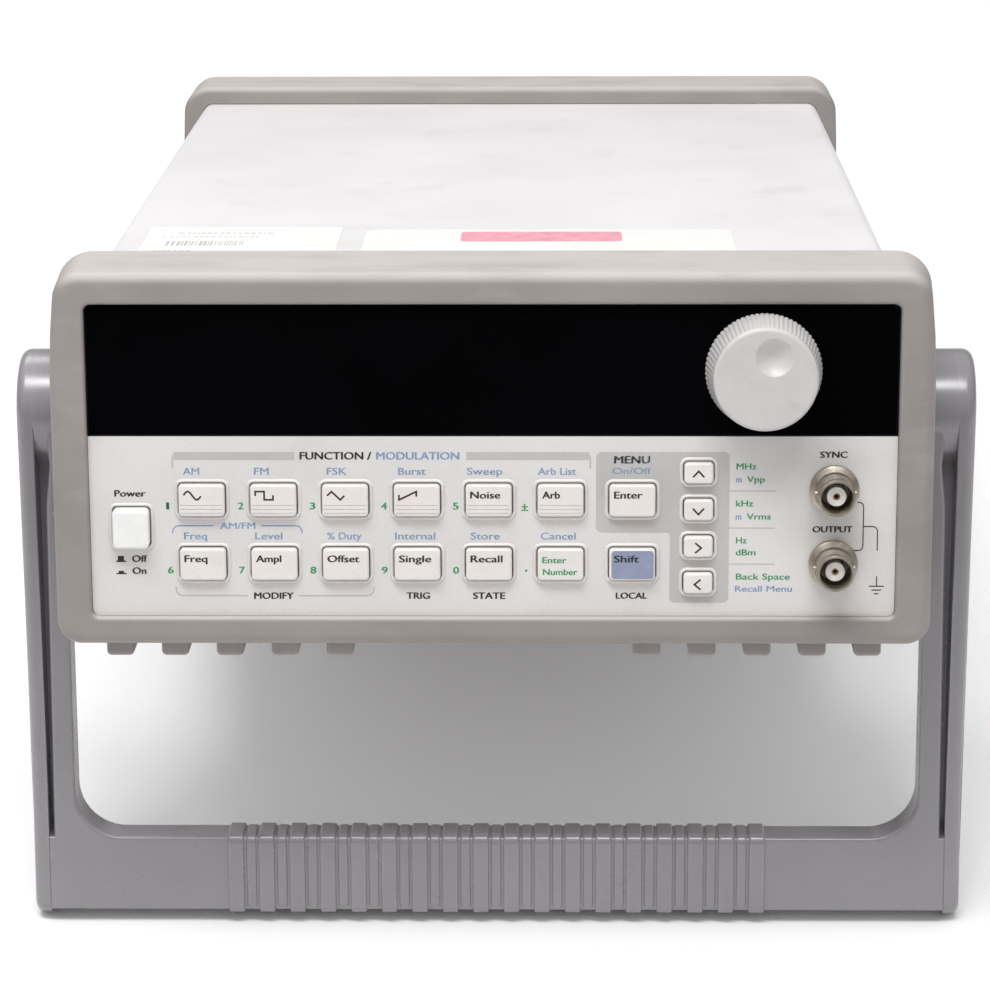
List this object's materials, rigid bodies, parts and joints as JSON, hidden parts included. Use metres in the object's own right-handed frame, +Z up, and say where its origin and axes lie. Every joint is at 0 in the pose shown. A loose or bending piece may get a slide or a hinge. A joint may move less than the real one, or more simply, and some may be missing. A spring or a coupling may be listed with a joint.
{
  "type": "function generator",
  "caption": "Half-rack bench function generator with keypad, tuning knob, signal sockets, rubber bumpers and a folding carry handle used as a tilt stand.",
  "frame": {"origin": "on the floor under the middle of the whole object, as it stands on its handle and rear feet", "axes": "+Z up, +Y from the front panel to the back, +X to the right seen from the front"},
  "size_m": [0.2548, 0.3902, 0.191],
  "materials": {
    "bumper_rubber": "satin warm grey moulded rubber, slightly soiled",
    "cover_paint": "fine textured pale grey powder paint",
    "label": "white self-adhesive film",
    "panel_plastic": "fine matte light warm grey",
    "window": "polished black",
    "display_glass": "clear",
    "circuit_board": "green solder mask",
    "key_mat": "matte silicone",
    "metal": "plain",
    "knob_plastic": "satin light grey",
    "power_cap": "satin white",
    "key_plastic": "satin off-white",
    "shift_key": "satin off-white with a printed violet patch",
    "dark_plastic": "fine matte black",
    "white_plastic": "plain",
    "jack_metal": "dull nickel plate",
    "insulator": "white",
    "contact": "gold plate",
    "handle_plastic": "satin mid grey with a faint violet cast",
    "bush_plastic": "matte dark grey",
    "sheet_metal": "zinc plated",
    "rear_paint": "fine textured grey",
    "capacitor": "dark blue sleeve",
    "transformer": "laminated core",
    "cable": "ribbed flat cable",
    "fuse_glass": "clear"
  },
  "bodies": {
    "instrument": {"front_bumper": "bumper_rubber", "rear_bumper": "bumper_rubber", "sleeve_cover": "cover_paint", "cover_labels": "label", "front_panel": "panel_plastic", "display_window": "window", "display_tube": "display_glass", "front_circuit_board": "circuit_board", "keypad_mat": "key_mat", "knob_encoder": "metal", "power_switch": "dark_plastic", "sync_jack": "jack_metal", "output_jack": "jack_metal", "rear_jacks": "jack_metal", "jack_insulators": "insulator", "jack_contacts": "contact", "jack_nuts": "jack_metal", "handle_bushes": "bush_plastic", "chassis_tray": "sheet_metal", "rear_panel": "rear_paint", "rear_panel_screws": "metal", "main_circuit_board": "circuit_board", "filter_capacitors": "capacitor", "heat_sink": "dark_plastic", "shield_can": "metal", "transformer": "transformer", "ribbon_cable": "cable", "power_inlet": "dark_plastic", "inlet_pins": "metal", "bus_connector": "dark_plastic", "serial_connector": "metal", "ground_stud": "contact", "fan_frame": "dark_plastic"},
    "handle": {"handle": "handle_plastic"},
    "knob": {"tuning_knob": "knob_plastic", "encoder_shaft": "metal"},
    "power": {"power_button": "power_cap", "power_push_rod": "white_plastic"},
    "fan": {"fan_rotor": "dark_plastic"},
    "fuse_tray": {"fuse_drawer": "dark_plastic", "fuse": "fuse_glass"},
    "key_sine": {"key_sine": "key_plastic"},
    "key_square": {"key_square": "key_plastic"},
    "key_triangle": {"key_triangle": "key_plastic"},
    "key_ramp": {"key_ramp": "key_plastic"},
    "key_noise": {"key_noise": "key_plastic"},
    "key_arb": {"key_arb": "key_plastic"},
    "key_enter": {"key_enter": "key_plastic"},
    "key_freq": {"key_freq": "key_plastic"},
    "key_ampl": {"key_ampl": "key_plastic"},
    "key_offset": {"key_offset": "key_plastic"},
    "key_single": {"key_single": "key_plastic"},
    "key_recall": {"key_recall": "key_plastic"},
    "key_enter_number": {"key_enter_number": "key_plastic"},
    "key_shift": {"key_shift": "shift_key"},
    "key_up": {"key_up": "key_plastic"},
    "key_down": {"key_down": "key_plastic"},
    "key_right": {"key_right": "key_plastic"},
    "key_left": {"key_left": "key_plastic"}
  },
  "joints": [
    {"name": "handle_turn", "type": "hinge", "parent": "instrument", "child": "handle", "pos_m": [0, -0.13088, 0.1352], "axis": [1, 0, 0], "range_deg": [-240, 66]},
    {"name": "knob_turn", "type": "hinge", "parent": "instrument", "child": "knob", "pos_m": [0.0699, -0.17285, 0.16687], "axis": [0, -0.9689, 0.2476], "continuous": true},
    {"name": "power_press", "type": "slide", "parent": "instrument", "child": "power", "axis": [0, 0.9689, -0.2476], "range_m": [0, 0.003], "stiffness_N_per_m": 900},
    {"name": "fan_spin", "type": "hinge", "parent": "instrument", "child": "fan", "pos_m": [0.055, 0.15926, 0.05281], "axis": [0, 0.9689, -0.2476], "continuous": true},
    {"name": "fuse_pull", "type": "slide", "parent": "instrument", "child": "fuse_tray", "axis": [0, 0.9689, -0.2476], "range_m": [0, 0.022]},
    {"name": "press_sine", "type": "slide", "parent": "instrument", "child": "key_sine", "axis": [0, 0.9689, -0.2476], "range_m": [0, 0.001], "stiffness_N_per_m": 700},
    {"name": "press_square", "type": "slide", "parent": "instrument", "child": "key_square", "axis": [0, 0.9689, -0.2476], "range_m": [0, 0.001], "stiffness_N_per_m": 700},
    {"name": "press_triangle", "type": "slide", "parent": "instrument", "child": "key_triangle", "axis": [0, 0.9689, -0.2476], "range_m": [0, 0.001], "stiffness_N_per_m": 700},
    {"name": "press_ramp", "type": "slide", "parent": "instrument", "child": "key_ramp", "axis": [0, 0.9689, -0.2476], "range_m": [0, 0.001], "stiffness_N_per_m": 700},
    {"name": "press_noise", "type": "slide", "parent": "instrument", "child": "key_noise", "axis": [0, 0.9689, -0.2476], "range_m": [0, 0.001], "stiffness_N_per_m": 700},
    {"name": "press_arb", "type": "slide", "parent": "instrument", "child": "key_arb", "axis": [0, 0.9689, -0.2476], "range_m": [0, 0.001], "stiffness_N_per_m": 700},
    {"name": "press_enter", "type": "slide", "parent": "instrument", "child": "key_enter", "axis": [0, 0.9689, -0.2476], "range_m": [0, 0.001], "stiffness_N_per_m": 700},
    {"name": "press_freq", "type": "slide", "parent": "instrument", "child": "key_freq", "axis": [0, 0.9689, -0.2476], "range_m": [0, 0.001], "stiffness_N_per_m": 700},
    {"name": "press_ampl", "type": "slide", "parent": "instrument", "child": "key_ampl", "axis": [0, 0.9689, -0.2476], "range_m": [0, 0.001], "stiffness_N_per_m": 700},
    {"name": "press_offset", "type": "slide", "parent": "instrument", "child": "key_offset", "axis": [0, 0.9689, -0.2476], "range_m": [0, 0.001], "stiffness_N_per_m": 700},
    {"name": "press_single", "type": "slide", "parent": "instrument", "child": "key_single", "axis": [0, 0.9689, -0.2476], "range_m": [0, 0.001], "stiffness_N_per_m": 700},
    {"name": "press_recall", "type": "slide", "parent": "instrument", "child": "key_recall", "axis": [0, 0.9689, -0.2476], "range_m": [0, 0.001], "stiffness_N_per_m": 700},
    {"name": "press_enter_number", "type": "slide", "parent": "instrument", "child": "key_enter_number", "axis": [0, 0.9689, -0.2476], "range_m": [0, 0.001], "stiffness_N_per_m": 700},
    {"name": "press_shift", "type": "slide", "parent": "instrument", "child": "key_shift", "axis": [0, 0.9689, -0.2476], "range_m": [0, 0.001], "stiffness_N_per_m": 700},
    {"name": "press_up", "type": "slide", "parent": "instrument", "child": "key_up", "axis": [0, 0.9689, -0.2476], "range_m": [0, 0.001], "stiffness_N_per_m": 700},
    {"name": "press_down", "type": "slide", "parent": "instrument", "child": "key_down", "axis": [0, 0.9689, -0.2476], "range_m": [0, 0.001], "stiffness_N_per_m": 700},
    {"name": "press_right", "type": "slide", "parent": "instrument", "child": "key_right", "axis": [0, 0.9689, -0.2476], "range_m": [0, 0.001], "stiffness_N_per_m": 700},
    {"name": "press_left", "type": "slide", "parent": "instrument", "child": "key_left", "axis": [0, 0.9689, -0.2476], "range_m": [0, 0.001], "stiffness_N_per_m": 700}
  ]
}
